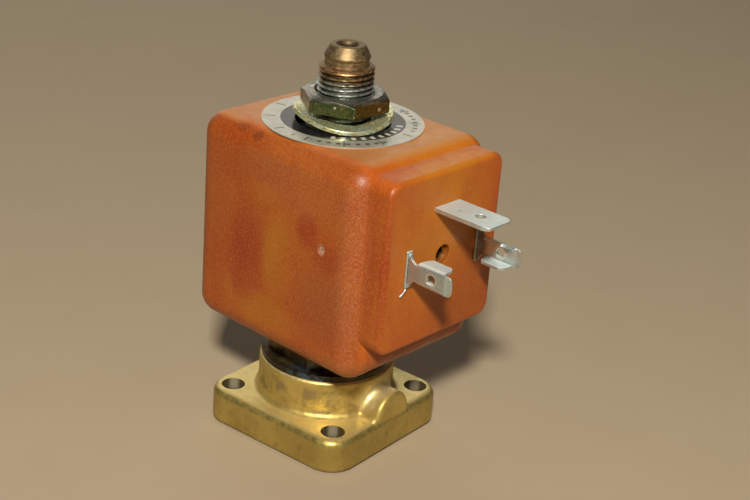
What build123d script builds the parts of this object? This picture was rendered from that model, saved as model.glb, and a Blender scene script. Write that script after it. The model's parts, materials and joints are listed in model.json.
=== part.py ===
from build123d import *
import os

# Direct-acting 3/2-way solenoid valve for flange mounting.
# Frame: origin at the centre of the flange's bottom face, on the axis of the armature tube.
# +Z runs up the tube, and the coil's plug face looks along -Y, turned by COIL_TURN.

# Flange body
FLANGE_SIDE = 32.0
FLANGE_HEIGHT = 6.6
FLANGE_CORNER_R = 5.0
FLANGE_TOP_R = 1.4
FLANGE_FOOT_CHAMFER = 0.6
SCREW_SPACING = 24.0
SCREW_HOLE_R = 2.15
BOSS_R = 12.4
BOSS_TOP = 13.7
BOSS_RIM_R = 0.7
HUMP_R = 4.5
HUMP_X = 0.3
HUMP_FRONT_R = 0.9
BLEND_R = 1.4

# Ports in the flange's bottom face, and the valve seat
OUTLET_Y = -9.0
SEAL_POCKET_R = 3.9
SEAL_POCKET_DEPTH = 1.4
PORT_R = 1.5
INLET_PORT_TOP = 4.2
OUTLET_PORT_TOP = 3.0
OUTLET_DRILL_R = 1.2
OUTLET_DRILL_Y = -6.6
OUTLET_DRILL_TOP = 6.0
SEAT_ORIFICE_R = 1.0
SEAT_LIP_R = 1.7
SEAT_FOOT_R = 3.0
SEAT_TOP = 7.2
CHAMBER_R = 8.0
CHAMBER_FLOOR = 5.2
FACE_SEAL_WIDTH = 1.9

# Threaded hexagon base of the armature tube
SKIRT_R = 9.0
SKIRT_BOTTOM = 8.0
SKIRT_TOP = 12.2
SPRING_ROOM_R = 7.6
SPRING_ROOM_TOP = 13.6
SEAL_NECK_R = 8.6
TUBE_SEAL_R = 10.4
COLLAR_R = 12.1
COLLAR_TOP = 14.8
COLLAR_SHOULDER_R = 10.7
BASE_HEX_BOTTOM = 15.0
BASE_HEX_TOP = 19.8
BASE_HEX_FLATS = 19.0
BASE_HEX_TURN = 20.2

# Armature tube, fixed core and threaded stem
TUBE_R = 6.5
TUBE_WALL = 0.4
TUBE_FLANGE_T = 0.4
TUBE_TOP = 57.6
CORE_BOTTOM = 39.0
CORE_SHOULDER_TOP = 58.0
STEM_THREAD_R = 4.865
STEM_THREAD_TOP = 68.2
STEM_THREAD_CHAMFER = 0.8
STEM_NECK_R = 3.97
STEM_CONE_BOTTOM = 70.4
STEM_TOP = 72.1
STEM_TIP_R = 3.0
EXHAUST_R = 1.6
EXHAUST_MOUTH_R = 2.1
EXHAUST_MOUTH_DEPTH = 0.5
EXHAUST_ORIFICE_R = 1.0
EXHAUST_ORIFICE_TOP = 43.0
EXHAUST_LIP_R = 1.7
EXHAUST_LIP_Z = 39.22
EXHAUST_RECESS_R = 2.8
EXHAUST_RECESS_TOP = 40.4
SHADING_R_IN = 3.9
SHADING_R_OUT = 4.8
SHADING_DEPTH = 1.4

# Plunger, its two seals and the springs
PLUNGER_LIFT = 1.0
FACE_GAP = 0.02
PLUNGER_R = 6.04
PLUNGER_BOTTOM = 7.6
PLUNGER_NOSE_R = 4.2
PLUNGER_COLLAR_R = 7.3
PLUNGER_COLLAR_BOTTOM = 8.8
PLUNGER_COLLAR_TOP = 9.6
FLUTE_COUNT = 4
FLUTE_WIDTH = 1.8
FLUTE_DEPTH = 1.2
SEAL_R = 2.6
SEAL_LIP_R = 2.1
INLET_SEAL_LIP_TOP = 8.0
INLET_SEAL_TOP = 9.8
EXHAUST_SEAL_HEAD = 2.8
EXHAUST_SEAL_LIP_T = 0.6
EXHAUST_SEAL_PROUD = 0.4
EXHAUST_BORE_BOTTOM = 28.0
RETURN_SPRING_WIRE = 0.6
RETURN_SPRING_R = 6.9
RETURN_SPRING_TURNS = 3.0
SEAL_SPRING_WIRE = 0.3
SEAL_SPRING_R = 1.9
SEAL_SPRING_TURNS = 9.0

# Coil housing and connector pad
COIL_TURN = -4.26
COIL_HALF_X = 16.2
COIL_FRONT_Y = -20.4
COIL_BACK_Y = 19.2
COIL_BOTTOM = 19.86
COIL_TOP = 58.4
COIL_EDGE_R = 4.0
PAD_HALF_X = 14.3
PAD_FRONT_Y = -24.6
PAD_BOTTOM = 26.7
PAD_TOP = 57.25
PAD_CORNER_R = 2.6
PAD_EDGE_R = 0.9
COIL_BORE_R = 6.58
TOP_RECESS_R = 8.35
DIMPLE_Y = -12.0
DIMPLE_Z = 42.6
DIMPLE_R = 0.8
DIMPLE_DEPTH = 0.3

# Bobbin, winding and steel yoke inside the housing
BOBBIN_WALL = 0.92
BOBBIN_FLANGE_R = 13.4
BOBBIN_FLANGE_T = 1.2
WINDING_R = 12.6
TAPE_T = 0.3
YOKE_T = 1.5
YOKE_BOTTOM = 21.4
YOKE_TOP = 56.8
YOKE_HALF_Y = 7.5
YOKE_PLATE_HALF_Y = 14.6
YOKE_PLATE_CORNER_R = 3.0

# Connector face: line contacts, earth blade and screw insert
CONTACT_X = 9.0
CONTACT_Z = 41.7
CONTACT_T = 0.5
CONTACT_WEB = 4.0
CONTACT_LIP = 2.8
CONTACT_LIP_NEAR_Y = -27.0
CONTACT_LIP_FAR_Y = -32.5
CONTACT_TIP_Y = -34.2
CONTACT_TIP_HEIGHT = 3.4
CONTACT_NECK_Y = -26.5
CONTACT_NECK_HEIGHT = 2.7
CONTACT_FOOT_HEIGHT = 6.6
CONTACT_FOOT_WIDTH = 1.3
CONTACT_HOLE_R = 0.95
CONTACT_HOLE_Y = -29.4
CONTACT_TAIL_Y = -18.6
BLADE_WIDTH = 6.3
BLADE_T = 0.8
BLADE_TOP = 51.1
BLADE_TIP_Y = -35.8
BLADE_TIP_CHAMFER = 1.2
BLADE_HOLE_R = 0.9
BLADE_HOLE_Y = -31.6
INSERT_Z = 41.9
INSERT_R = 2.4
INSERT_THREAD_R = 1.25
INSERT_LENGTH = 6.0
PAD_HOLE_R = 1.8
PAD_HOLE_DEPTH = 1.2
LEAD_R = 0.3

# Label, washer and nut on top of the coil
LABEL_R = 14.1
LABEL_T = 0.2
WASHER_R = 8.85
WASHER_HOLE_R = 5.15
WASHER_T = 0.8
WASHER_SAG = 1.6
WASHER_TURN = -128.0
NUT_FLATS = 14.0
NUT_BOTTOM = 61.2
NUT_TOP = 64.0
NUT_TURN = 51.7
NUT_BEVEL = 0.75

# Values worked out from the ones above
SEAL_NECK_TOP = BOSS_TOP + 0.1
TUBE_R_IN = TUBE_R - TUBE_WALL
TUBE_BOTTOM = SPRING_ROOM_TOP - TUBE_FLANGE_T
PLUNGER_TOP = CORE_BOTTOM - PLUNGER_LIFT - FACE_GAP
INLET_SEAL_BOTTOM = SEAT_TOP + FACE_GAP
EXHAUST_SEAL_TOP = PLUNGER_TOP + EXHAUST_SEAL_PROUD
EXHAUST_SEAL_STEP = PLUNGER_TOP - EXHAUST_SEAL_LIP_T
EXHAUST_SEAL_BOTTOM = EXHAUST_SEAL_STEP - EXHAUST_SEAL_HEAD
BOBBIN_BOTTOM = YOKE_BOTTOM + YOKE_T
BOBBIN_TOP = YOKE_TOP - YOKE_T
WINDING_BOTTOM = BOBBIN_BOTTOM + BOBBIN_FLANGE_T
WINDING_TOP = BOBBIN_TOP - BOBBIN_FLANGE_T
BOBBIN_R = COIL_BORE_R + BOBBIN_WALL
TAPE_R = WINDING_R + TAPE_T
YOKE_INNER_X = BOBBIN_FLANGE_R + 0.1
YOKE_OUTER_X = YOKE_INNER_X + YOKE_T
LABEL_TOP = COIL_TOP + LABEL_T


def block(x0, x1, y0, y1, z0, z1):
    """A box between six planes."""
    box = Box(x1 - x0, y1 - y0, z1 - z0, align=(Align.MIN, Align.MIN, Align.MIN))
    return Pos(x0, y0, z0) * box


def disc(radius, z0, z1, x=0.0, y=0.0):
    """An upright cylinder between two heights."""
    cylinder = Cylinder(radius, z1 - z0, align=(Align.CENTER, Align.CENTER, Align.MIN))
    return Pos(x, y, z0) * cylinder


def ring(inner, outer, z0, z1):
    """An upright tube between two heights."""
    return disc(outer, z0, z1) - disc(inner, z0 - 1, z1 + 1)


def turned(*outline):
    """A solid turned about Z from its (radius, height) outline."""
    wire = Polyline(*outline, close=True)
    face = make_face(Plane.XZ * wire)
    return revolve(face, Axis.Z)


def rod_y(radius, x, z, y0, y1):
    """A cylinder along Y between two planes."""
    cylinder = Cylinder(radius, y1 - y0, align=(Align.CENTER, Align.CENTER, Align.MIN))
    return Pos(x, y0, z) * Rot(X=-90) * cylinder


def hexagon(flats, z0, z1, turn):
    """A hexagonal prism with a corner at the angle turn."""
    outline = Rot(Z=turn) * RegularPolygon(flats / 2, 6, major_radius=False, rotation=0)
    return Pos(0, 0, z0) * extrude(outline, z1 - z0)


def face_seal(x, y, inner, outer, height):
    """A rubber ring in its pocket, drawn at the height it is squeezed to."""
    profile = Plane.XZ * Pos((inner + outer) / 2, height / 2) * RectangleRounded(
        outer - inner, height, 0.45 * height
    )
    return Pos(x, y, 0) * revolve(profile, Axis.Z)


def coil_spring(radius, wire, turns, z0, z1):
    """A helical spring whose wire lies between two heights."""
    rise = z1 - z0 - wire
    path = Pos(0, 0, z0 + wire / 2) * Helix(rise / turns, rise, radius)
    start = Plane(origin=path @ 0, z_dir=path % 0)
    return sweep(start * Circle(wire / 2), path=path, is_frenet=True)


def flange_blank():
    """The square flange with rounded corners and a rounded top edge."""
    half = FLANGE_SIDE / 2
    blank = block(-half, half, -half, half, 0, FLANGE_HEIGHT)
    blank = fillet(blank.edges().filter_by(Axis.Z), FLANGE_CORNER_R)
    blank = fillet(blank.faces().sort_by(Axis.Z)[-1].edges(), FLANGE_TOP_R)
    return chamfer(blank.faces().sort_by(Axis.Z)[0].edges(), FLANGE_FOOT_CHAMFER)


def body_blank():
    """The flange with the round boss and the half-round hump blended into it."""
    half = FLANGE_SIDE / 2
    boss = disc(BOSS_R, 1, BOSS_TOP)
    boss = fillet(boss.edges().sort_by(Axis.Z)[-1], BOSS_RIM_R)
    hump = rod_y(HUMP_R, HUMP_X, FLANGE_HEIGHT, -half, -1)
    hump = fillet(hump.edges().sort_by(Axis.Y)[0], HUMP_FRONT_R)
    blank = flange_blank() + boss + hump
    return fillet(blend_edges(blank), BLEND_R)


def blend_edges(blank):
    """The edges where the boss and the hump rise out of the flange and meet each other."""
    hump_top = FLANGE_HEIGHT + HUMP_R
    reach = FLANGE_SIDE / 2 - FLANGE_TOP_R
    chosen = []
    for edge in blank.edges():
        box = edge.bounding_box()
        centre = edge.center()
        raised = box.min.Z > FLANGE_HEIGHT - 0.01 and box.max.Z < hump_top + 0.1
        if raised and centre.X**2 + centre.Y**2 < reach**2:
            chosen.append(edge)
    return chosen


def seat_nozzle():
    """The raised inlet seat on the chamber's floor."""
    return turned(
        (0, CHAMBER_FLOOR - 1),
        (SEAT_FOOT_R, CHAMBER_FLOOR - 1),
        (SEAT_FOOT_R, CHAMBER_FLOOR),
        (SEAT_LIP_R, SEAT_TOP),
        (0, SEAT_TOP),
    )


def outlet_drill():
    """The slanted drilling from the outlet port up into the chamber."""
    start = Vector(0, OUTLET_Y, OUTLET_PORT_TOP - 0.4)
    end = Vector(0, OUTLET_DRILL_Y, OUTLET_DRILL_TOP)
    run = end - start
    cylinder = Cylinder(OUTLET_DRILL_R, run.length, align=(Align.CENTER, Align.CENTER, Align.MIN))
    return Plane(origin=start, z_dir=run) * cylinder


def brass_body():
    """The forged and machined brass body with its ports, seat and tube thread."""
    body = body_blank()
    body -= disc(CHAMBER_R, CHAMBER_FLOOR, SKIRT_BOTTOM)
    body -= disc(SKIRT_R, SKIRT_BOTTOM, SKIRT_TOP)
    body -= disc(TUBE_SEAL_R, SKIRT_TOP, BOSS_TOP + 1)
    body += seat_nozzle()
    body -= disc(SEAL_POCKET_R, -1, SEAL_POCKET_DEPTH)
    body -= disc(SEAL_POCKET_R, -1, SEAL_POCKET_DEPTH, y=OUTLET_Y)
    body -= disc(PORT_R, 0, INLET_PORT_TOP)
    body -= disc(PORT_R, 0, OUTLET_PORT_TOP, y=OUTLET_Y)
    body -= disc(SEAT_ORIFICE_R, INLET_PORT_TOP - 1, SEAT_TOP + 1)
    body -= outlet_drill()
    reach = SCREW_SPACING / 2
    for x in (-reach, reach):
        for y in (-reach, reach):
            body -= disc(SCREW_HOLE_R, -1, FLANGE_HEIGHT + 1, x, y)
    return body


def tube_hex_base():
    """The steel base that screws the armature tube into the body."""
    shank = turned(
        (0, SKIRT_BOTTOM),
        (SKIRT_R - 0.5, SKIRT_BOTTOM),
        (SKIRT_R, SKIRT_BOTTOM + 0.5),
        (SKIRT_R, SKIRT_TOP),
        (SEAL_NECK_R, SKIRT_TOP),
        (SEAL_NECK_R, SEAL_NECK_TOP),
        (COLLAR_R, SEAL_NECK_TOP),
        (COLLAR_R, COLLAR_TOP),
        (COLLAR_SHOULDER_R, BASE_HEX_BOTTOM),
        (0, BASE_HEX_BOTTOM),
    )
    head = hexagon(BASE_HEX_FLATS, BASE_HEX_BOTTOM - 0.1, BASE_HEX_TOP, BASE_HEX_TURN)
    crown_r = BASE_HEX_FLATS / 2
    crown = turned(
        (0, BASE_HEX_BOTTOM - 1),
        (crown_r + 3, BASE_HEX_BOTTOM - 1),
        (crown_r + 3, BASE_HEX_TOP - 1.9),
        (crown_r - 0.2, BASE_HEX_TOP),
        (0, BASE_HEX_TOP),
    )
    base = shank + (head & crown)
    base -= disc(SPRING_ROOM_R, SKIRT_BOTTOM - 1, SPRING_ROOM_TOP)
    return base - disc(TUBE_R, SPRING_ROOM_TOP - 1, BASE_HEX_TOP + 1)


def core_tube():
    """The thin non-magnetic sleeve, flanged at its foot."""
    tube = ring(TUBE_R_IN, TUBE_R, SPRING_ROOM_TOP, TUBE_TOP)
    return tube + ring(TUBE_R_IN, SPRING_ROOM_R, TUBE_BOTTOM, SPRING_ROOM_TOP)


def fixed_core():
    """The core that closes the tube, with its exhaust seat and threaded stem."""
    core = turned(
        (0, CORE_BOTTOM),
        (TUBE_R_IN, CORE_BOTTOM),
        (TUBE_R_IN, TUBE_TOP),
        (TUBE_R, TUBE_TOP),
        (TUBE_R, CORE_SHOULDER_TOP),
        (STEM_THREAD_R, CORE_SHOULDER_TOP),
        (STEM_THREAD_R, STEM_THREAD_TOP),
        (STEM_NECK_R, STEM_THREAD_TOP + STEM_THREAD_CHAMFER),
        (STEM_NECK_R, STEM_CONE_BOTTOM),
        (STEM_TIP_R, STEM_TOP),
        (0, STEM_TOP),
    )
    core -= ring(EXHAUST_LIP_R, EXHAUST_RECESS_R, CORE_BOTTOM - 1, EXHAUST_RECESS_TOP)
    core -= disc(EXHAUST_LIP_R, CORE_BOTTOM - 1, EXHAUST_LIP_Z)
    core -= disc(EXHAUST_ORIFICE_R, CORE_BOTTOM, EXHAUST_ORIFICE_TOP + 1)
    core -= disc(EXHAUST_R, EXHAUST_ORIFICE_TOP, STEM_TOP + 1)
    core -= turned(
        (0, STEM_TOP - EXHAUST_MOUTH_DEPTH),
        (EXHAUST_R, STEM_TOP - EXHAUST_MOUTH_DEPTH),
        (EXHAUST_MOUTH_R, STEM_TOP),
        (0, STEM_TOP),
    )
    return core - ring(SHADING_R_IN, SHADING_R_OUT, CORE_BOTTOM - 1, CORE_BOTTOM + SHADING_DEPTH)


def shading_ring():
    """The copper ring let into the core's face."""
    return ring(SHADING_R_IN, SHADING_R_OUT, CORE_BOTTOM + FACE_GAP, CORE_BOTTOM + SHADING_DEPTH)


def plunger():
    """The fluted plunger with a spring collar at its foot and a seal pocket at each end."""
    body = turned(
        (0, PLUNGER_BOTTOM),
        (PLUNGER_NOSE_R - 0.6, PLUNGER_BOTTOM),
        (PLUNGER_NOSE_R, PLUNGER_BOTTOM + 0.6),
        (PLUNGER_NOSE_R, PLUNGER_COLLAR_BOTTOM),
        (PLUNGER_COLLAR_R, PLUNGER_COLLAR_BOTTOM),
        (PLUNGER_COLLAR_R, PLUNGER_COLLAR_TOP),
        (PLUNGER_R, PLUNGER_COLLAR_TOP),
        (PLUNGER_R, PLUNGER_TOP - 0.4),
        (PLUNGER_R - 0.4, PLUNGER_TOP),
        (0, PLUNGER_TOP),
    )
    for index in range(FLUTE_COUNT):
        slot = block(
            PLUNGER_R - FLUTE_DEPTH,
            PLUNGER_COLLAR_R + 1,
            -FLUTE_WIDTH / 2,
            FLUTE_WIDTH / 2,
            PLUNGER_BOTTOM - 1,
            PLUNGER_TOP + 1,
        )
        body -= Rot(Z=360 / FLUTE_COUNT * index) * slot
    body -= disc(SEAL_LIP_R, PLUNGER_BOTTOM - 1, INLET_SEAL_LIP_TOP)
    body -= disc(SEAL_R, INLET_SEAL_LIP_TOP, INLET_SEAL_TOP)
    body -= disc(SEAL_R, EXHAUST_BORE_BOTTOM, EXHAUST_SEAL_STEP)
    return body - disc(SEAL_LIP_R, EXHAUST_SEAL_STEP, PLUNGER_TOP + 1)


def inlet_seal():
    """The rubber disc held in the plunger's foot, which closes the inlet seat."""
    face = disc(SEAL_LIP_R, INLET_SEAL_BOTTOM, INLET_SEAL_LIP_TOP)
    return face + disc(SEAL_R, INLET_SEAL_LIP_TOP, INLET_SEAL_TOP)


def exhaust_seal():
    """The sprung rubber piston in the plunger's head, which closes the exhaust seat."""
    head = disc(SEAL_R - 0.05, EXHAUST_SEAL_BOTTOM, EXHAUST_SEAL_STEP - FACE_GAP)
    nose = disc(SEAL_LIP_R - 0.08, EXHAUST_SEAL_STEP - 0.1, EXHAUST_SEAL_TOP)
    return head + nose


def tube_seal():
    """The O-ring under the hexagon base's collar."""
    inner = SEAL_NECK_R + FACE_GAP
    outer = TUBE_SEAL_R - FACE_GAP
    height = SEAL_NECK_TOP - SKIRT_TOP - FACE_GAP
    return Pos(0, 0, SKIRT_TOP) * face_seal(0, 0, inner, outer, height)


def port_o_ring(y):
    """The O-ring in a port's pocket, flush with the flange's bottom face."""
    outer = SEAL_POCKET_R - FACE_GAP
    return face_seal(0, y, outer - FACE_SEAL_WIDTH, outer, SEAL_POCKET_DEPTH)


def return_spring():
    """The spring between the plunger's collar and the tube's flange."""
    return coil_spring(
        RETURN_SPRING_R, RETURN_SPRING_WIRE, RETURN_SPRING_TURNS, PLUNGER_COLLAR_TOP, TUBE_BOTTOM
    )


def exhaust_seal_spring():
    """The small spring under the exhaust seal."""
    return coil_spring(
        SEAL_SPRING_R, SEAL_SPRING_WIRE, SEAL_SPRING_TURNS, EXHAUST_BORE_BOTTOM, EXHAUST_SEAL_BOTTOM
    )


def coil_bobbin():
    """The plastic bobbin round the tube."""
    barrel = ring(COIL_BORE_R, BOBBIN_R, BOBBIN_BOTTOM, BOBBIN_TOP)
    lower = ring(COIL_BORE_R, BOBBIN_FLANGE_R, BOBBIN_BOTTOM, WINDING_BOTTOM)
    upper = ring(COIL_BORE_R, BOBBIN_FLANGE_R, WINDING_TOP, BOBBIN_TOP)
    return barrel + lower + upper


def coil_winding():
    """The copper winding, as one ring."""
    return ring(BOBBIN_R, WINDING_R, WINDING_BOTTOM, WINDING_TOP)


def lead_wire(side):
    """The wire from the winding's outside to one contact's tail."""
    x = side * CONTACT_X
    wire = rod_y(LEAD_R, x, CONTACT_Z, CONTACT_TAIL_Y, 0)
    return wire - disc(WINDING_R, WINDING_BOTTOM, WINDING_TOP)


def winding_tape():
    """The insulating tape round the winding, with the two leads passing through it."""
    tape = ring(WINDING_R, TAPE_R, WINDING_BOTTOM, WINDING_TOP)
    return tape - lead_wire(-1) - lead_wire(1)


def yoke_strip():
    """The steel strip bent to a U: one plate under the bobbin and two legs beside it."""
    outer = block(
        -YOKE_OUTER_X, YOKE_OUTER_X, -YOKE_HALF_Y, YOKE_HALF_Y, YOKE_BOTTOM, YOKE_TOP - YOKE_T
    )
    inner = block(
        -YOKE_INNER_X, YOKE_INNER_X, -YOKE_HALF_Y - 1, YOKE_HALF_Y + 1, BOBBIN_BOTTOM, YOKE_TOP
    )
    return outer - inner


def yoke_frame():
    """The U-shaped half of the yoke, bored for the tube."""
    return yoke_strip() - disc(COIL_BORE_R, YOKE_BOTTOM - 1, BOBBIN_BOTTOM + 1)


def yoke_plate_blank():
    """The flat half of the yoke before it is bored."""
    plate = block(
        -YOKE_OUTER_X,
        YOKE_OUTER_X,
        -YOKE_PLATE_HALF_Y,
        YOKE_PLATE_HALF_Y,
        YOKE_TOP - YOKE_T,
        YOKE_TOP,
    )
    return fillet(plate.edges().filter_by(Axis.Z), YOKE_PLATE_CORNER_R)


def yoke_plate():
    """The steel plate that closes the yoke over the bobbin."""
    return yoke_plate_blank() - disc(COIL_BORE_R, YOKE_TOP - YOKE_T - 1, YOKE_TOP + 1)


def line_contact(side):
    """One tinned U-section contact; its lips turn towards the middle of the pad."""
    half_web = CONTACT_WEB / 2
    half_neck = CONTACT_NECK_HEIGHT / 2
    half_foot = CONTACT_FOOT_HEIGHT / 2
    half_tip = CONTACT_TIP_HEIGHT / 2
    outline = Polyline(
        (CONTACT_TAIL_Y, -half_neck),
        (PAD_FRONT_Y, -half_neck),
        (PAD_FRONT_Y, -half_foot),
        (PAD_FRONT_Y - CONTACT_T, -half_foot),
        (CONTACT_NECK_Y, -half_neck),
        (CONTACT_LIP_NEAR_Y, -half_web),
        (CONTACT_LIP_FAR_Y, -half_web),
        (CONTACT_LIP_FAR_Y, -half_tip),
        (CONTACT_TIP_Y + 0.6, -half_tip),
        (CONTACT_TIP_Y, -half_tip + 0.6),
        (CONTACT_TIP_Y, half_tip - 0.6),
        (CONTACT_TIP_Y + 0.6, half_tip),
        (CONTACT_LIP_FAR_Y, half_tip),
        (CONTACT_LIP_FAR_Y, half_web),
        (CONTACT_LIP_NEAR_Y, half_web),
        (CONTACT_NECK_Y, half_neck),
        (PAD_FRONT_Y - CONTACT_T, half_foot),
        (PAD_FRONT_Y, half_foot),
        (PAD_FRONT_Y, half_neck),
        (CONTACT_TAIL_Y, half_neck),
        close=True,
    )
    sheet = extrude(Plane.YZ * make_face(outline), CONTACT_T / 2, both=True)
    lip = block(0, CONTACT_LIP, CONTACT_LIP_FAR_Y, CONTACT_LIP_NEAR_Y, half_web - CONTACT_T, half_web)
    lip = chamfer(lip.edges().filter_by(Axis.Z).sort_by(Axis.X)[-2:], 0.7)
    foot = block(
        -CONTACT_FOOT_WIDTH / 2,
        CONTACT_FOOT_WIDTH / 2,
        PAD_FRONT_Y - CONTACT_T,
        PAD_FRONT_Y,
        -half_foot,
        half_foot,
    )
    contact = sheet + lip + mirror(lip, Plane.XY) + foot
    hole = Pos(0, CONTACT_HOLE_Y, 0) * Rot(Y=90) * Cylinder(CONTACT_HOLE_R, 4 * CONTACT_T)
    contact -= hole
    if side > 0:
        contact = mirror(contact, Plane.YZ)
    return Pos(side * CONTACT_X, 0, CONTACT_Z) * contact


def earth_blade():
    """The flat earth tab, bent up inside the housing to meet the yoke plate."""
    half = BLADE_WIDTH / 2
    root_y = -YOKE_PLATE_HALF_Y - BLADE_T
    blade = block(-half, half, BLADE_TIP_Y, root_y, BLADE_TOP - BLADE_T, BLADE_TOP)
    tip_edges = blade.edges().filter_by(Axis.Z).sort_by(Axis.Y)[:2]
    blade = chamfer(tip_edges, BLADE_TIP_CHAMFER)
    blade -= disc(BLADE_HOLE_R, BLADE_TOP - 2, BLADE_TOP + 1, y=BLADE_HOLE_Y)
    root_z = BLADE_TOP - BLADE_T
    return blade + block(-half, half, root_y, root_y + BLADE_T, root_z, YOKE_TOP)


def connector_insert():
    """The threaded brass insert for the plug's screw."""
    front = PAD_FRONT_Y + PAD_HOLE_DEPTH
    shell = rod_y(INSERT_R, 0, INSERT_Z, front, front + INSERT_LENGTH)
    return shell - rod_y(INSERT_THREAD_R, 0, INSERT_Z, front - 1, front + INSERT_LENGTH - 0.8)


def housing_blank():
    """The outside of the moulded block with its connector pad."""
    core = block(
        -COIL_HALF_X, COIL_HALF_X, COIL_FRONT_Y, COIL_BACK_Y, COIL_BOTTOM, COIL_TOP
    )
    core = fillet(core.edges(), COIL_EDGE_R)
    pad = block(-PAD_HALF_X, PAD_HALF_X, PAD_FRONT_Y, 0, PAD_BOTTOM, PAD_TOP)
    pad = fillet(pad.edges().filter_by(Axis.Y), PAD_CORNER_R)
    pad = fillet(pad.faces().sort_by(Axis.Y)[0].edges(), PAD_EDGE_R)
    return core + pad


def wound_core():
    """The space of the tube, the bobbin and the winding, open at both ends."""
    return turned(
        (0, COIL_BOTTOM - 1),
        (COIL_BORE_R, COIL_BOTTOM - 1),
        (COIL_BORE_R, BOBBIN_BOTTOM),
        (BOBBIN_FLANGE_R, BOBBIN_BOTTOM),
        (BOBBIN_FLANGE_R, WINDING_BOTTOM),
        (TAPE_R, WINDING_BOTTOM),
        (TAPE_R, WINDING_TOP),
        (BOBBIN_FLANGE_R, WINDING_TOP),
        (BOBBIN_FLANGE_R, BOBBIN_TOP),
        (COIL_BORE_R, BOBBIN_TOP),
        (COIL_BORE_R, YOKE_TOP),
        (TOP_RECESS_R, YOKE_TOP),
        (TOP_RECESS_R, COIL_TOP + 1),
        (0, COIL_TOP + 1),
    )


def coil_housing():
    """The resin moulded round the wound core, the yoke and the roots of the terminals."""
    housing = housing_blank() - wound_core()
    housing -= yoke_strip()
    housing -= yoke_plate_blank()
    half_neck = CONTACT_NECK_HEIGHT / 2
    low = CONTACT_Z - half_neck
    high = CONTACT_Z + half_neck
    for side in (-1, 1):
        x = side * CONTACT_X
        left = x - CONTACT_T / 2
        right = x + CONTACT_T / 2
        housing -= block(left, right, PAD_FRONT_Y - 1, CONTACT_TAIL_Y, low, high)
        housing -= rod_y(LEAD_R, x, CONTACT_Z, CONTACT_TAIL_Y, 0)
    half_blade = BLADE_WIDTH / 2
    root_y = -YOKE_PLATE_HALF_Y - BLADE_T
    root_z = BLADE_TOP - BLADE_T
    housing -= block(-half_blade, half_blade, PAD_FRONT_Y - 1, root_y + BLADE_T, root_z, BLADE_TOP)
    housing -= block(-half_blade, half_blade, root_y, root_y + BLADE_T, BLADE_TOP - 0.1, YOKE_TOP)
    insert_front = PAD_FRONT_Y + PAD_HOLE_DEPTH
    housing -= rod_y(INSERT_R, 0, INSERT_Z, insert_front, insert_front + INSERT_LENGTH)
    housing -= rod_y(PAD_HOLE_R, 0, INSERT_Z, PAD_FRONT_Y - 1, insert_front + 0.1)
    pit = Rot(Y=90) * Cylinder(DIMPLE_R, 2 * DIMPLE_DEPTH)
    return housing - Pos(-COIL_HALF_X, DIMPLE_Y, DIMPLE_Z) * pit


def label_ring():
    """The round foil label on top of the coil."""
    return ring(TOP_RECESS_R, LABEL_R, COIL_TOP, LABEL_TOP)


def spring_washer():
    """The curved washer: an arc of sheet, trimmed to a ring."""
    bend_r = (WASHER_R**2 + WASHER_SAG**2) / (2 * WASHER_SAG)
    bottom = LABEL_TOP + FACE_GAP
    centre_z = bottom + bend_r
    shell = Cylinder(bend_r, 3 * WASHER_R) - Cylinder(bend_r - WASHER_T, 4 * WASHER_R)
    shell = Pos(0, 0, centre_z) * Rot(Y=90) * shell
    trim = ring(WASHER_HOLE_R, WASHER_R, bottom - 1, NUT_BOTTOM + 1)
    return Rot(Z=WASHER_TURN) * (shell & trim)


def coil_nut():
    """The thin hexagon nut, bevelled on top."""
    half = NUT_FLATS / 2
    prism = hexagon(NUT_FLATS, NUT_BOTTOM, NUT_TOP, NUT_TURN)
    bevel = turned(
        (0, NUT_BOTTOM),
        (half + 2, NUT_BOTTOM),
        (half + 2, NUT_TOP - 2 * NUT_BEVEL),
        (half, NUT_TOP),
        (0, NUT_TOP),
    )
    nut = prism & bevel
    return nut - disc(STEM_THREAD_R + FACE_GAP, NUT_BOTTOM - 1, NUT_TOP + 1)


def save(name, piece):
    """Write one node."""
    export_step(piece, f"parts/{name}.step")


def save_on_coil(name, piece):
    """Write one node of the coil, turned with it about the tube."""
    save(name, Rot(Z=COIL_TURN) * piece)


os.makedirs("parts", exist_ok=True)

save("brass_body", brass_body())
save("inlet_o_ring", port_o_ring(0))
save("outlet_o_ring", port_o_ring(OUTLET_Y))
save("tube_hex_base", tube_hex_base())
save("tube_seal", tube_seal())
save("core_tube", core_tube())
save("fixed_core", fixed_core())
save("shading_ring", shading_ring())
save("plunger", plunger())
save("inlet_seal", inlet_seal())
save("exhaust_seal", exhaust_seal())
save("return_spring", return_spring())
save("exhaust_seal_spring", exhaust_seal_spring())
save("spring_washer", spring_washer())
save("coil_nut", coil_nut())

save_on_coil("coil_housing", coil_housing())
save_on_coil("label_ring", label_ring())
save_on_coil("coil_bobbin", coil_bobbin())
save_on_coil("coil_winding", coil_winding())
save_on_coil("winding_tape", winding_tape())
save_on_coil("yoke_frame", yoke_frame())
save_on_coil("yoke_plate", yoke_plate())
save_on_coil("line_contact_left", line_contact(-1))
save_on_coil("line_contact_right", line_contact(1))
save_on_coil("earth_blade", earth_blade())
save_on_coil("connector_insert", connector_insert())
save_on_coil("lead_left", lead_wire(-1))
save_on_coil("lead_right", lead_wire(1))
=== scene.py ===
import json
import math

import bpy
import numpy as np
from mathutils import Matrix, Vector
from mathutils.geometry import delaunay_2d_cdt


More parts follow.
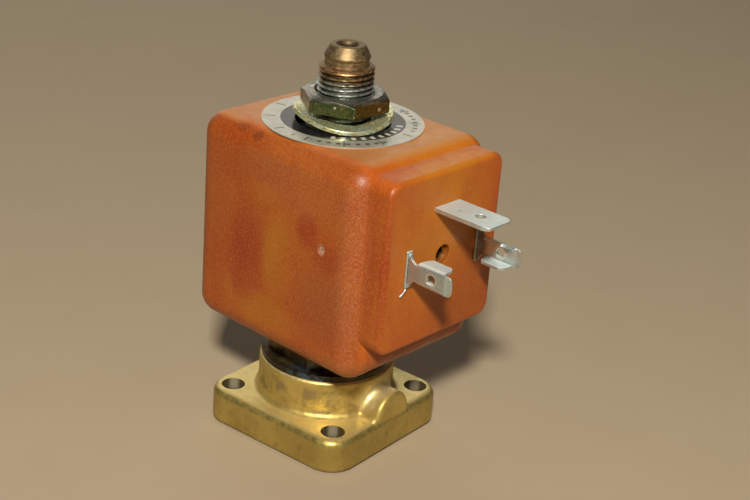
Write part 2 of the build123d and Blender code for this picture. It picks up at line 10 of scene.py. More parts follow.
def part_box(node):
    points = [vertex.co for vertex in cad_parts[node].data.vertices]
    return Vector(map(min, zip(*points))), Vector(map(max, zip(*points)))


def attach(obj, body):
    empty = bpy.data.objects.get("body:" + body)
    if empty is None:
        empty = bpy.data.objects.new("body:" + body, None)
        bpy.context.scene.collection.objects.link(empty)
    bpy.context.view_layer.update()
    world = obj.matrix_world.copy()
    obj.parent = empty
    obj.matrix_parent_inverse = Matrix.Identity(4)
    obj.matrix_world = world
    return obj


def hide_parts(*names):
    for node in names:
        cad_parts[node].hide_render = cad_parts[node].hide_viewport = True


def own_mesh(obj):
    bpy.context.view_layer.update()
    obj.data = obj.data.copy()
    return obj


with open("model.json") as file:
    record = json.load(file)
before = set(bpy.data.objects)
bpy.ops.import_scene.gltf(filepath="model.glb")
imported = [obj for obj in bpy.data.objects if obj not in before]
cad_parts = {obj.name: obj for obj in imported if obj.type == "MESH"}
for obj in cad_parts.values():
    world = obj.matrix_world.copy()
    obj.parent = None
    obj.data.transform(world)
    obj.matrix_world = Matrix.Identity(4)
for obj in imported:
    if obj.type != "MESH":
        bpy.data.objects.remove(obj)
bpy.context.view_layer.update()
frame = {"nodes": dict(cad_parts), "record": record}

# Lengths below are in millimetres, turned into metres when a mesh is made.
MM = 0.001
# Sheet triangles with less than half this area, in square millimetres, are left out.
SLIVER = 1e-4
RECORD = frame["record"]


def span(node):
    """A CAD node's lowest and highest corner, in millimetres."""
    low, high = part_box(node)
    return np.array(low) / MM, np.array(high) / MM


def mount(name):
    """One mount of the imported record."""
    return next(entry for entry in RECORD["mounts"] if entry["name"] == name)


PLUG_AXIS = mount("connector_screw")["axis"]
COIL_TURN = math.atan2(PLUG_AXIS[0], -PLUG_AXIS[1])
LABEL_BOTTOM = span("label_ring")[0][2]
NUT_LOW, NUT_HIGH = span("coil_nut")
CORE_LOW, CORE_HIGH = span("fixed_core")
WASHER_BOTTOM = span("spring_washer")[0][2]

# Flange: the holes' distance from both middle lines, and the side of each bore that gets a painted
# highlight
FLANGE_TOP = 6.6
HOLE_PLACE = 12.0
HOLE_R = 2.15
HIGHLIGHT_SIDE = (0.78, 0.62)

# Threaded stem and core
THREAD_R = 4.865
THREAD_PITCH = 0.907
THREAD_DEPTH = 0.52
THREAD_START = 58.0
THREAD_END = 68.2
NECK_R = 3.97
BORE_R = 1.6
BORE_BOTTOM = 43.0
SEAT_BORE_R = 1.0

# Nut and washer
NUT_HALF_FLATS = 7.0
NUT_BORE_R = 4.885
NUT_TURN = math.radians(51.7)
NUT_BEVEL_R = 6.5
WASHER_R = 8.85
WASHER_HOLE_R = 5.15
WASHER_T = 0.8
WASHER_SAG = 1.6
WASHER_TURN = math.radians(-128.0)

# Round recess under the washer, in the top of the coil
RECESS_R = 8.35

# Plug face: the pad's front, the two contacts, the screw hole and the earth blade
PAD_Y = -24.6
CONTACT_X = 9.0
CONTACT_Z = 41.7
CONTACT_T = 0.5
CONTACT_HOLE_Y = -30.0
CONTACT_HOLE_R = 0.88
SCREW_HOLE_Z = 41.9
SCREW_HOLE_R = 1.8
BLADE_MID_Z = 50.7
BLADE_T = 0.8
BLADE_BEND_Y = -15.6
BLADE_BEND_R = 0.6
BLADE_END_Z = 56.8

# Moulding gate on the coil's left face
GATE_Y = -12.0
GATE_Z = 42.6


# ---------------------------------------------------------------- node helpers


class Surface:
    """A principled material and short calls that add nodes to it."""

    def __init__(self, name, turn=0.0):
        self.material = bpy.data.materials.new(name)
        self.material.use_nodes = True
        self.tree = self.material.node_tree
        self.tree.nodes.clear()
        self.output = self.add("ShaderNodeOutputMaterial")
        self.shader = self.add("ShaderNodeBsdfPrincipled")
        self.link(self.shader.outputs[0], self.output.inputs["Surface"])
        coordinates = self.add("ShaderNodeTexCoord")
        mapping = self.add("ShaderNodeMapping")
        mapping.inputs["Scale"].default_value = (1 / MM, 1 / MM, 1 / MM)
        mapping.inputs["Rotation"].default_value = (0, 0, -turn)
        self.link(coordinates.outputs["Object"], mapping.inputs["Vector"])
        self.place = mapping.outputs["Vector"]
        split = self.add("ShaderNodeSeparateXYZ")
        self.link(self.place, split.inputs[0])
        self.x, self.y, self.z = split.outputs
        facing = self.add("ShaderNodeSeparateXYZ")
        self.link(self.add("ShaderNodeNewGeometry").outputs["Normal"], facing.inputs[0])
        self.upward = facing.outputs[2]

    def add(self, kind, **settings):
        """Adds a node and sets its properties."""
        node = self.tree.nodes.new(kind)
        for key, value in settings.items():
            setattr(node, key, value)
        return node

    def link(self, source, target):
        """Joins two sockets."""
        self.tree.links.new(source, target)

    def feed(self, socket, value):
        """Links a socket to another one, or sets its value."""
        if isinstance(value, bpy.types.NodeSocket):
            self.link(value, socket)
        else:
            socket.default_value = value

    def set(self, **values):
        """Sets the shader's own sockets; underscores stand for spaces."""
        for key, value in values.items():
            if isinstance(value, tuple) and len(value) == 3:
                value = (*value, 1.0)
            self.feed(self.shader.inputs[key.replace("_", " ")], value)

    def noise(self, scale, detail=3.0, roughness=0.55, stretch=(1, 1, 1), offset=0.0):
        """Cloudy noise; scale counts its waves in each millimetre."""
        vector = self.place
        if stretch != (1, 1, 1) or offset:
            mapping = self.add("ShaderNodeMapping")
            mapping.inputs["Scale"].default_value = stretch
            mapping.inputs["Location"].default_value = (offset, offset, offset)
            self.link(vector, mapping.inputs["Vector"])
            vector = mapping.outputs[0]
        node = self.add("ShaderNodeTexNoise")
        node.inputs["Scale"].default_value = scale
        node.inputs["Detail"].default_value = detail
        node.inputs["Roughness"].default_value = roughness
        self.link(vector, node.inputs["Vector"])
        return node.outputs[0]

    def specks(self, scale, size, share, offset=0.0):
        """Small round dots: 1 inside a dot. share is the part of the cells that hold one."""
        mapping = self.add("ShaderNodeMapping")
        mapping.inputs["Location"].default_value = (offset, offset, offset)
        self.link(self.place, mapping.inputs["Vector"])
        node = self.add("ShaderNodeTexVoronoi")
        node.inputs["Scale"].default_value = scale
        self.link(mapping.outputs[0], node.inputs["Vector"])
        split = self.add("ShaderNodeSeparateColor")
        self.link(node.outputs["Color"], split.inputs[0])
        chosen = self.math("LESS_THAN", split.outputs[0], share)
        near = self.math("LESS_THAN", node.outputs["Distance"], size)
        return self.math("MULTIPLY", chosen, near)

    def math(self, operation, a, b=0.0):
        """One arithmetic operation."""
        node = self.add("ShaderNodeMath", operation=operation)
        self.feed(node.inputs[0], a)
        self.feed(node.inputs[1], b)
        return node.outputs[0]

    def distance(self, a, b):
        """The length of a right triangle's long side."""
        squares = self.math("ADD", self.math("MULTIPLY", a, a), self.math("MULTIPLY", b, b))
        return self.math("SQRT", squares)

    def step(self, value, low, high, out_low=0.0, out_high=1.0):
        """A smooth ramp from out_low at low to out_high at high."""
        node = self.add("ShaderNodeMapRange", interpolation_type="SMOOTHSTEP")
        self.feed(node.inputs["Value"], value)
        node.inputs["From Min"].default_value = low
        node.inputs["From Max"].default_value = high
        node.inputs["To Min"].default_value = out_low
        node.inputs["To Max"].default_value = out_high
        return node.outputs[0]

    def band(self, value, low, high, soft):
        """1 between low and high, fading over soft on both sides."""
        rise = self.step(value, low - soft, low + soft)
        fall = self.step(value, high - soft, high + soft, 1.0, 0.0)
        return self.math("MULTIPLY", rise, fall)

    def spot(self, centre, size):
        """A soft blob: 1 at its centre, 0 at its size along each axis."""
        parts = []
        for socket, middle, reach in zip((self.x, self.y, self.z), centre, size):
            offset = self.math("SUBTRACT", socket, middle)
            offset = self.math("DIVIDE", offset, reach)
            parts.append(self.math("MULTIPLY", offset, offset))
        total = self.math("ADD", self.math("ADD", parts[0], parts[1]), parts[2])
        return self.step(total, 0.0, 1.0, 1.0, 0.0)

    def mix(self, factor, a, b):
        """Colour a where factor is 0, colour b where it is 1."""
        node = self.add("ShaderNodeMix", data_type="RGBA")
        self.feed(node.inputs[0], factor)
        for socket, value in ((node.inputs[6], a), (node.inputs[7], b)):
            if isinstance(value, tuple):
                value = (*value, 1.0)
            self.feed(socket, value)
        return node.outputs[2]

    def bump(self, height, distance, strength=1.0, after=None):
        """Bumps as deep as distance, in millimetres, on top of another bump."""
        node = self.add("ShaderNodeBump")
        node.inputs["Strength"].default_value = strength
        node.inputs["Distance"].default_value = distance * MM
        self.feed(node.inputs["Height"], height)
        if after is not None:
            self.link(after, node.inputs["Normal"])
        return node.outputs[0]


# ---------------------------------------------------------------- mesh helpers


def make_piece(name, points, faces, material, body, stands_for=(), turn=0.0, sharp=35):
    """A mesh from points in millimetres, riding on a CAD body."""
    points = np.array(points, float).reshape(-1, 3)
    cosine, sine = math.cos(turn), math.sin(turn)
    x, y = points[:, 0].copy(), points[:, 1].copy()
    points[:, 0] = cosine * x - sine * y
    points[:, 1] = sine * x + cosine * y
    mesh = bpy.data.meshes.new(name)
    mesh.from_pydata((points * MM).tolist(), [], faces)
    mesh.validate()
    mesh.polygons.foreach_set("use_smooth", [True] * len(mesh.polygons))
    mesh.set_sharp_from_angle(angle=math.radians(sharp))
    mesh.materials.append(material)
    piece = bpy.data.objects.new(name, mesh)
    bpy.context.scene.collection.objects.link(piece)
    if stands_for:
        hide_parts(*stands_for)
    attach(piece, body)
    return piece


def bevel(piece, width, segments=2, angle=30):
    """Rounds a piece's sharp edges."""
    modifier = piece.modifiers.new("edges", "BEVEL")
    modifier.width = width * MM
    modifier.segments = segments
    modifier.limit_method = "ANGLE"
    modifier.angle_limit = math.radians(angle)
    modifier.harden_normals = True


def ring_faces(rings, steps):
    """Quads of a grid that closes on itself both ways."""
    faces = []
    for ring in range(rings):
        after = (ring + 1) % rings
        for step in range(steps):
            beside = (step + 1) % steps
            corners = (ring * steps + step, ring * steps + beside)
            faces.append((*corners, after * steps + beside, after * steps + step))
    return faces


def soften(outline, radius, steps=3):
    """Rounds the corners of a closed (radius, height) outline."""
    outline = [np.array(point, float) for point in outline]
    rounded = []
    for index, corner in enumerate(outline):
        before = outline[index - 1] - corner
        after = outline[(index + 1) % len(outline)] - corner
        long_before, long_after = np.linalg.norm(before), np.linalg.norm(after)
        straight = np.dot(before, after) / (long_before * long_after) < -0.97
        if straight or radius == 0:
            rounded.append(corner)
            continue
        start = corner + before / long_before * min(radius, 0.4 * long_before)
        end = corner + after / long_after * min(radius, 0.4 * long_after)
        for share in np.linspace(0, 1, steps + 1):
            low = start + (corner - start) * share
            high = corner + (end - corner) * share
            rounded.append(low + (high - low) * share)
    return np.array(rounded)


def lathe(outline, steps, shape=None):
    """Points of an outline turned about Z. shape may change radius and height by angle."""
    angles = np.linspace(0, 2 * math.pi, steps, endpoint=False)
    radius = np.repeat(outline[:, :1], steps, axis=1)
    height = np.repeat(outline[:, 1:], steps, axis=1)
    if shape is not None:
        radius, height = shape(radius, height, angles[None, :])
    points = np.stack([radius * np.cos(angles), radius * np.sin(angles), height], axis=-1)
    return points, ring_faces(len(outline), steps)


def smooth_step(value, low, high):
    """A smooth ramp from 0 at low to 1 at high."""
    share = np.clip((value - low) / (high - low), 0, 1)
    return share * share * (3 - 2 * share)


def inside(polygon, points):
    """Which points lie inside a closed polygon."""
    hit = np.zeros(len(points), bool)
    px, py = points[:, 0], points[:, 1]
    for (ax, ay), (bx, by) in zip(polygon, np.roll(polygon, -1, axis=0)):
        crosses = (ay > py) != (by > py)
        slope = np.where(by == ay, 1e-9, by - ay)
        hit ^= crosses & (px < (bx - ax) * (py - ay) / slope + ax)
    return hit


def refine(polygon, spacing):
    """Adds points along a polygon's sides."""
    points = []
    for start, end in zip(polygon, np.roll(polygon, -1, axis=0)):
        count = max(1, round(np.linalg.norm(end - start) / spacing))
        points.extend(start + (end - start) * k / count for k in range(count))
    return np.array(points)


def sheet(outline, holes, spacing, place):
    """A flat pattern of sheet, triangulated and then bent to shape by place."""
    rim = refine(np.array(outline, float), spacing)
    loops = [rim, *holes]
    low, high = rim.min(0), rim.max(0)
    across = np.arange(low[0] + spacing / 2, high[0], spacing)
    along = np.arange(low[1] + spacing / 2, high[1], spacing)
    grid = np.array(np.meshgrid(across, along)).reshape(2, -1).T
    keep = inside(rim, grid)
    for loop in loops:
        gap = np.linalg.norm(grid[:, None] - loop[None], axis=2).min(1)
        keep &= gap > 0.45 * spacing
    for hole in holes:
        keep &= ~inside(hole, grid)
    points = np.concatenate([*loops, grid[keep]])
    edges, start = [], 0
    for loop in loops:
        count = len(loop)
        edges += [(start + k, start + (k + 1) % count) for k in range(count)]
        start += count
    vectors = [Vector(point) for point in points]
    flat, _, triangles, _, _, _ = delaunay_2d_cdt(vectors, edges, [], 0, 1e-6)
    flat = np.array([tuple(point) for point in flat])
    centres = np.array([flat[list(triangle)].mean(0) for triangle in triangles])
    wanted = inside(rim, centres)
    for hole in holes:
        wanted &= ~inside(hole, centres)
    corners = flat[np.array(triangles)]
    one, two = corners[:, 1] - corners[:, 0], corners[:, 2] - corners[:, 0]
    wanted &= np.abs(one[:, 0] * two[:, 1] - one[:, 1] * two[:, 0]) > SLIVER
    faces = [tuple(triangle) for triangle, good in zip(triangles, wanted) if good]
    return place(flat[:, 0], flat[:, 1]), faces


def circle(x, y, radius, count=28):
    """The points of a round hole."""
    angles = np.linspace(0, 2 * math.pi, count, endpoint=False)
    return np.stack([x + radius * np.cos(angles), y + radius * np.sin(angles)], axis=1)


def thicken(piece, thickness, edge, along, tip, share):
    """Gives a sheet piece its thickness, only a share of it at the coined tip, and rounded edges."""
    group = piece.vertex_groups.new(name="full")
    for index, weight in enumerate(smooth_step(along, tip, tip + 0.25)):
        group.add([index], float(weight), "REPLACE")
    modifier = piece.modifiers.new("thickness", "SOLIDIFY")
    modifier.vertex_group = "full"
    modifier.thickness_vertex_group = share
    modifier.thickness = thickness * MM
    modifier.offset = 0
    modifier.use_even_offset = True
    bevel(piece, edge, segments=2, angle=50)


# ---------------------------------------------------------------- materials


OCHRE = (0.53, 0.195, 0.011)
RED_BROWN = (0.33, 0.028, 0.006)
DULL_BROWN = (0.33, 0.085, 0.025)
DEEP_ORANGE = (0.3, 0.062, 0.007)
# dark brown for scorch marks, and for painted shade below the pad
SCORCH_AND_SHADE = (0.13, 0.025, 0.012)

# Colour, centre, reach and strength of the clouds in the resin, in the coil's own axes; a few of them
# are painted shade
RESIN_CLOUDS = (
    (OCHRE, (-16.2, -1.7, 37.4), (6, 4.6, 10.5), 1.0),
    (OCHRE, (-16.2, 1.4, 48.2), (6, 2.8, 3.0), 0.6),
    (OCHRE, (-16.2, 1.0, 26.0), (6, 10.0, 5.0), 0.85),
    (OCHRE, (-16.2, 9.8, 27.5), (6, 1.8, 4.5), 0.5),
    (OCHRE, (-1.0, -25.0, 47.0), (15, 4, 20), 0.7),
    # painted shade: the pad's lower right is darker, where the contacts' shadows fall
    (DEEP_ORANGE, (9.0, -25.0, 32.0), (15, 4, 16), 0.85),
    (OCHRE, (4.0, -14.0, 58.4), (20, 9, 5), 0.75),
    (OCHRE, (6.0, 8.0, 58.4), (16, 14, 5), 0.6),
    (OCHRE, (3.0, -22.8, 57.4), (16, 2.8, 1.8), 1.0),
    (RED_BROWN, (-16.2, 6.2, 36.8), (6, 5.6, 12.0), 0.95),
    (RED_BROWN, (-16.2, -8.6, 44.7), (5, 3.4, 4.0), 0.95),
    (RED_BROWN, (-16.2, -13.0, 41.4), (5, 4.0, 3.2), 0.85),
    (RED_BROWN, (-16.0, 8.0, 56.6), (4, 9.0, 2.6), 0.55),
    (RED_BROWN, (-15.5, -21.6, 40.0), (2.2, 2.2, 22), 0.6),
    (RED_BROWN, (-14.2, -24.5, 42.0), (1.1, 1.6, 19), 0.9),
    (RED_BROWN, (14.0, -23.0, 40.0), (3, 6, 22), 0.4),
    (DULL_BROWN, (-16.2, -13.0, 32.5), (6, 8.0, 9.0), 0.8),
    (DULL_BROWN, (-16.2, 15.0, 45.0), (6, 6.0, 18), 0.35),
    (DULL_BROWN, (-16.2, 2.0, 53.0), (6, 9.0, 4.0), 0.4),
    # painted shade: the body's strip below the pad, where the pad shades it
    (SCORCH_AND_SHADE, (0.0, -20.0, 22.5), (18, 4.0, 4.5), 0.6),
    (SCORCH_AND_SHADE, (-15.6, 5.2, 57.4), (2.2, 1.6, 1.2), 0.8),
    (SCORCH_AND_SHADE, (-15.2, 9.2, 57.8), (2.0, 2.0, 1.0), 0.7),
    (SCORCH_AND_SHADE, (-16.2, 9.0, 53.0), (3, 0.8, 0.7), 0.4),
    (SCORCH_AND_SHADE, (-10.6, -9.2, 58.4), (1.0, 1.2, 1.5), 0.35),
    (SCORCH_AND_SHADE, (0.0, -16.2, 58.4), (5.0, 0.5, 1.5), 0.35),
)


def orange_resin():
    """Burnt-orange moulding with ochre and red-brown clouds, pale specks, and a pale dusting that is
    also a painted highlight along the front-left edge; several marks are painted shade.
    """
    s = Surface("orange_resin", COIL_TURN)
    clouds = s.noise(0.075, 4, 0.6)
    colour = s.mix(s.step(clouds, 0.38, 0.62), (0.45, 0.09, 0.008), (0.49, 0.125, 0.011))
    mottle = s.noise(0.24, 5, 0.62, stretch=(0.9, 0.9, 0.55), offset=7)
    colour = s.mix(s.step(mottle, 0.5, 0.7, 0, 0.4), colour, (0.38, 0.055, 0.012))
    ragged = s.step(mottle, 0.32, 0.66, 1.0, 0.6)
    for cloud, centre, reach, strength in RESIN_CLOUDS:
        patch = s.math("MULTIPLY", s.spot(centre, reach), ragged)
        colour = s.mix(s.math("MULTIPLY", patch, strength), colour, cloud)
    # painted shade: the coil's left face is darkened, as the side that gets less light
    left_face_shade = s.step(s.x, -12.8, -14.8, 0.0, 0.5)
    colour = s.mix(left_face_shade, colour, (0.12, 0.02, 0.003))
    top = s.step(s.z, LABEL_BOTTOM - 0.8, LABEL_BOTTOM - 0.1, 0.0, 0.5)
    away = s.math("MAXIMUM", s.step(s.x, -14.0, -11.0), s.step(s.y, 8.0, 12.0))
    colour = s.mix(s.math("MULTIPLY", top, away), colour, (0.47, 0.26, 0.095))
    # painted shade: the pad's front face is made a little darker
    colour = s.mix(s.step(s.y, -23.9, -24.5, 0.0, 0.12), colour, (0.1, 0.05, 0.01))
    lower = s.spot((-15.0, -18.0, 20.5), (9, 9, 5.0))
    colour = s.mix(s.math("MULTIPLY", lower, 0.3), colour, (0.34, 0.14, 0.03))
    grain = s.noise(2.4, 3, 0.75)
    colour = s.mix(s.step(grain, 0.42, 0.7, 0.0, 0.27), colour, (0.62, 0.2, 0.045))
    colour = s.mix(s.step(grain, 0.3, 0.5, 0.17, 0.0), colour, (0.24, 0.04, 0.01))
    fine = s.noise(6.0, 2, 0.6, offset=3)
    # pale dust on the upper left face; along the front-left vertical edge it is a painted highlight
    dust_and_highlight_mask = s.spot((-16.4, -18.8, 42.0), (4, 4.0, 30))
    dust_and_highlight_mask = s.math("ADD", dust_and_highlight_mask, s.math("MULTIPLY", s.spot((-16.2, -6, 53), (5, 15, 8)), 0.5))
    dust_and_highlight = s.math("MULTIPLY", dust_and_highlight_mask, s.step(fine, 0.48, 0.7, 0.0, 0.28))
    colour = s.mix(dust_and_highlight, colour, (0.75, 0.45, 0.33))
    white = s.specks(1.1, 0.085, 0.05)
    colour = s.mix(s.math("MULTIPLY", white, 0.7), colour, (0.82, 0.6, 0.42))
    dark = s.specks(0.5, 0.06, 0.12, offset=11)
    colour = s.mix(s.math("MULTIPLY", dark, 0.8), colour, (0.07, 0.03, 0.02))
    gate_x = span("coil_housing")[0][0]
    gate = s.spot((gate_x + 0.7, GATE_Y, GATE_Z), (2.5, 1.0, 1.25))
    colour = s.mix(s.math("MULTIPLY", gate, 0.7), colour, (0.56, 0.4, 0.28))
    pin = s.spot((gate_x + 0.7, GATE_Y, GATE_Z), (2.5, 0.3, 0.35))
    colour = s.mix(pin, colour, (0.12, 0.05, 0.03))
    scratch = s.math("SUBTRACT", s.z, s.math("MULTIPLY", s.y, -0.03))
    scratch = s.band(scratch, 51.55, 51.7, 0.08)
    scratch = s.math("MULTIPLY", scratch, s.band(s.y, -19.0, -12.5, 0.8))
    scratch = s.math("MULTIPLY", scratch, s.step(s.x, -15.0, -15.8))
    colour = s.mix(s.math("MULTIPLY", scratch, 0.3), colour, (0.2, 0.03, 0.012))
    # painted shade: the recess under the washer is painted almost black
    recess = s.math("LESS_THAN", s.distance(s.x, s.y), RECESS_R + 0.15)
    recess = s.math("MULTIPLY", recess, s.math("GREATER_THAN", s.z, LABEL_BOTTOM - 5.0))
    colour = s.mix(recess, colour, (0.012, 0.011, 0.01))
    from_axis = s.distance(s.x, s.math("SUBTRACT", s.z, SCREW_HOLE_Z))
    # painted shade: the screw hole's wall is darkened just inside its rim
    sunk = s.step(from_axis, SCREW_HOLE_R + 0.02, SCREW_HOLE_R + 0.12, 1.0, 0.0)
    sunk = s.math("MULTIPLY", sunk, s.band(s.y, PAD_Y + 0.2, PAD_Y + 2.0, 0.15))
    colour = s.mix(s.math("MULTIPLY", sunk, 0.7), colour, (0.13, 0.04, 0.008))
    roughness = s.step(s.noise(0.5, 3, 0.6, offset=5), 0.3, 0.7, 0.34, 0.48)
    normal = s.bump(s.noise(0.9, 2, 0.5), 0.10, 0.35)
    normal = s.bump(grain, 0.05, 0.6, after=normal)
    s.set(Base_Color=colour, Roughness=roughness, Normal=normal, Specular_IOR_Level=0.38)
    return s.material


def body_brass():
    """Cast and turned brass: green on the flange's edge, stained on the boss; painted light on upward
    faces, painted highlights on the boss rim, the hump and one side of each bore, and painted shade
    along the bottom edge and deep in the bores.
    """
    s = Surface("body_brass")
    clouds = s.noise(0.16, 4, 0.62)
    colour = s.mix(s.step(clouds, 0.35, 0.68), (0.46, 0.335, 0.085), (0.58, 0.435, 0.125))
    tarnish = s.noise(0.55, 5, 0.68, offset=9)
    colour = s.mix(s.step(tarnish, 0.5, 0.74, 0, 0.6), colour, (0.26, 0.17, 0.045))
    green = s.noise(1.1, 4, 0.7, offset=4)
    top_edge = s.band(s.z, FLANGE_TOP - 1.1, FLANGE_TOP - 0.2, 0.3)
    outer = s.math("MAXIMUM", s.math("ABSOLUTE", s.x), s.math("ABSOLUTE", s.y))
    rim = s.math("MULTIPLY", top_edge, s.step(outer, 14.2, 15.2))
    rim = s.math("MULTIPLY", rim, s.step(green, 0.38, 0.62, 0.35, 1.0))
    colour = s.mix(s.math("MULTIPLY", rim, 0.75), colour, (0.17, 0.16, 0.055))
    # painted light: faces that point up are made paler
    upward = s.step(s.upward, 0.75, 0.98, 0.0, 0.75)
    colour = s.mix(upward, colour, (0.82, 0.68, 0.29))
    colour = s.mix(s.step(s.z, 5.0, 6.2, 0.3, 0.0), colour, (0.22, 0.145, 0.03))
    # painted shade: a dark band along the bottom edge, where the flange meets the floor
    low = s.step(s.z, 0.0, 1.1, 1.0, 0.0)
    colour = s.mix(s.math("MULTIPLY", low, 0.7), colour, (0.12, 0.085, 0.03))
    boss = s.math("MULTIPLY", s.band(s.z, 7.2, 12.2, 0.8), s.step(outer, 13.0, 14.2, 1.0, 0.0))
    stain = s.math("MULTIPLY", boss, s.step(s.noise(0.25, 4, 0.6, offset=6), 0.47, 0.62, 0.0, 0.85))
    colour = s.mix(stain, colour, (0.3, 0.22, 0.09))
    across = s.math("SUBTRACT", s.x, s.math("MULTIPLY", s.math("SIGN", s.x), HOLE_PLACE))
    along = s.math("SUBTRACT", s.y, s.math("MULTIPLY", s.math("SIGN", s.y), HOLE_PLACE))
    parts = [s.math("MULTIPLY", part, way) for part, way in zip((across, along), HIGHLIGHT_SIDE)]
    sideways = s.math("ADD", *parts)
    from_hole = s.distance(across, along)
    lining = s.step(from_hole, HOLE_R + 0.02, HOLE_R + 0.1, 1.0, 0.0)
    lining = s.math("MULTIPLY", lining, s.step(s.upward, 0.3, 0.6, 1.0, 0.0))
    # painted highlight: a pale streak down one side of each bore
    streak = s.step(sideways, 0.84 * HOLE_R, HOLE_R)
    bore_light_and_shade = s.mix(streak, (0.1, 0.075, 0.038), (0.34, 0.3, 0.19))
    # painted shade: the bores get darker deeper down
    bore_light_and_shade = s.mix(s.step(s.z, 5.2, 3.6, 0.0, 0.7), bore_light_and_shade, (0.03, 0.024, 0.014))
    colour = s.mix(lining, colour, bore_light_and_shade)
    # painted highlight: pale brass on the boss's top rim and on the hump
    hump = s.spot((0.0, -12.6, 9.8), (6.5, 3.2, 4.0))
    rim_and_hump_highlight = s.math("MAXIMUM", s.band(s.z, 13.5, 15.0, 0.3), hump)
    colour = s.mix(s.math("MULTIPLY", rim_and_hump_highlight, 0.65), colour, (0.95, 0.83, 0.43))
    pits = s.specks(1.6, 0.12, 0.05, offset=2)
    colour = s.mix(s.math("MULTIPLY", pits, 0.7), colour, (0.08, 0.06, 0.03))
    worn = s.step(tarnish, 0.3, 0.7, 0.35, 0.56)
    roughness = s.math("SUBTRACT", worn, s.math("MULTIPLY", lining, 0.2))
    hairs = s.noise(3.2, 3, 0.7, stretch=(1, 1, 3.0))
    normal = s.bump(s.noise(0.7, 3, 0.55, offset=1), 0.16, 0.45)
    normal = s.bump(hairs, 0.03, 0.5, after=normal)
    metal = s.math("SUBTRACT", 0.68, s.math("MULTIPLY", lining, 0.45))
    s.set(Base_Color=colour, Metallic=metal, Roughness=roughness, Normal=normal)
    return s.material


def oxidised_steel():
    """Blackened steel, painted almost black on the collar below the coil as painted shade, with a
    painted blue-grey sheen low on the collar's left.
    """
    s = Surface("oxidised_steel")
    clouds = s.noise(0.5, 4, 0.65)
    colour = s.mix(s.step(clouds, 0.4, 0.62), (0.075, 0.06, 0.028), (0.19, 0.15, 0.075))
    # painted shade: the collar below the coil is darkened nearly to black
    collar = s.step(s.z, 14.7, 15.1, 0.75, 0.0)
    colour = s.mix(collar, colour, (0.02, 0.016, 0.01))
    # painted sheen: a blue-grey reflection low on the collar's left
    blue = s.math("MULTIPLY", s.spot((-10.0, -5.0, 14.6), (6, 6, 2.5)), s.step(clouds, 0.42, 0.6))
    colour = s.mix(blue, colour, (0.08, 0.13, 0.17))
    roughness = s.step(clouds, 0.3, 0.7, 0.3, 0.48)
    normal = s.bump(s.noise(1.8, 3, 0.6), 0.04, 0.4)
    s.set(Base_Color=colour, Metallic=0.85, Roughness=roughness, Normal=normal)
    return s.material


def core_steel():
    """Turned steel: rust-brown on the neck and the top threads, blue-grey below them, with painted
    shade in the thread grooves and the bore.
    """
    s = Surface("core_steel")
    grime = s.noise(1.3, 5, 0.7, stretch=(1, 1, 1.8))
    patch = s.noise(0.6, 4, 0.65, offset=6)
    steel = s.mix(s.step(grime, 0.35, 0.65), (0.3, 0.35, 0.33), (0.62, 0.68, 0.6))
    olive = s.mix(s.step(grime, 0.3, 0.7), (0.15, 0.105, 0.045), (0.38, 0.31, 0.17))
    rust = s.mix(s.step(grime, 0.4, 0.65), (0.25, 0.135, 0.06), (0.58, 0.34, 0.16))
    upper = s.step(s.math("ADD", s.z, s.math("MULTIPLY", patch, 2.6)), 66.3, 68.2)
    colour = s.mix(upper, steel, olive)
    turns = s.band(s.z, 66.5, 68.9, 0.8)
    rusty = s.math("MULTIPLY", turns, s.step(patch, 0.4, 0.58, 0.15, 0.95))
    colour = s.mix(rusty, colour, rust)
    radius = s.distance(s.x, s.y)
    threaded = s.band(s.z, THREAD_START, THREAD_END + 0.1, 0.3)
    # painted shade: the thread's grooves are darkened nearly to black
    groove = s.math("MULTIPLY", s.step(radius, 4.4, 4.75, 1.0, 0.0), threaded)
    colour = s.mix(s.math("MULTIPLY", groove, 0.85), colour, (0.03, 0.024, 0.016))
    orange = s.math("MULTIPLY", threaded, s.step(s.noise(2.4, 4, 0.7, offset=8), 0.62, 0.72))
    colour = s.mix(s.math("MULTIPLY", orange, 0.8), colour, (0.55, 0.2, 0.04))
    mottled = s.step(s.noise(1.9, 4, 0.75, offset=14), 0.42, 0.56, 0.1, 0.8)
    mottled = s.math("MULTIPLY", mottled, s.step(s.z, THREAD_END, THREAD_END + 0.6))
    colour = s.mix(s.math("MULTIPLY", mottled, 0.8), colour, (0.25, 0.165, 0.085))
    # painted shade: darker inside the bore
    bore = s.step(radius, 1.5, 2.0, 1.0, 0.0)
    colour = s.mix(bore, colour, (0.12, 0.085, 0.05))
    turned = s.step(grime, 0.3, 0.7, 0.36, 0.56)
    roughness = s.math("ADD", turned, s.step(s.z, THREAD_END, THREAD_END + 0.6, 0.0, 0.08))
    normal = s.bump(grime, 0.06, 0.6)
    s.set(Base_Color=colour, Metallic=0.9, Roughness=roughness, Normal=normal)
    return s.material


